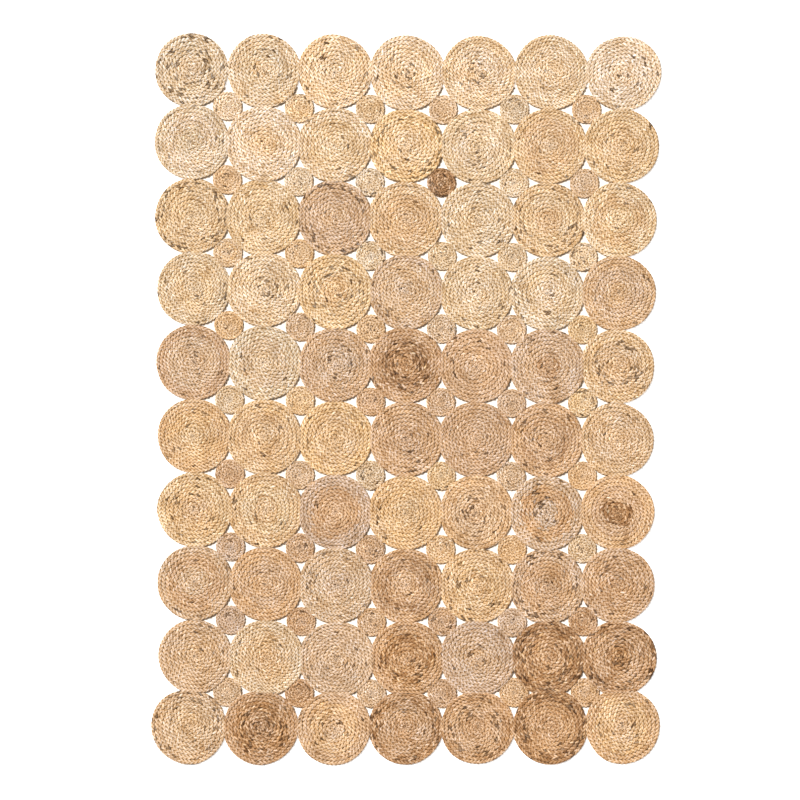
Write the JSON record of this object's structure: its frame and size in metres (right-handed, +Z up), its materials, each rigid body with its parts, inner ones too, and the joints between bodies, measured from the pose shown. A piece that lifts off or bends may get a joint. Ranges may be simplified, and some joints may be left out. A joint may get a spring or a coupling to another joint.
{
  "type": "braided jute rug",
  "caption": "Flat rectangular rug of round coils of braided jute sewn side to side, with smaller coils and three-cornered gaps between them.",
  "frame": {"origin": "on the floor, under the middle of the rug's outline", "axes": "+Z up out of the pile side, +Y along the rug's length, +X across its width"},
  "size_m": [1.602, 2.2974, 0.01],
  "materials": {
    "jute_straw": "pale straw jute braid, undyed, matte, with darker flecks",
    "jute_golden": "golden tan jute braid, undyed, matte",
    "jute_tan": "tan jute braid, undyed, matte, with browner coils"
  },
  "bodies": {
    "root": {"coil_row_01": "jute_straw", "coil_row_02": "jute_straw", "coil_row_03": "jute_straw", "coil_row_04": "jute_golden", "coil_row_05": "jute_golden", "coil_row_06": "jute_golden", "coil_row_07": "jute_tan", "coil_row_08": "jute_tan", "coil_row_09": "jute_tan", "coil_row_10": "jute_tan"}
  },
  "joints": []
}
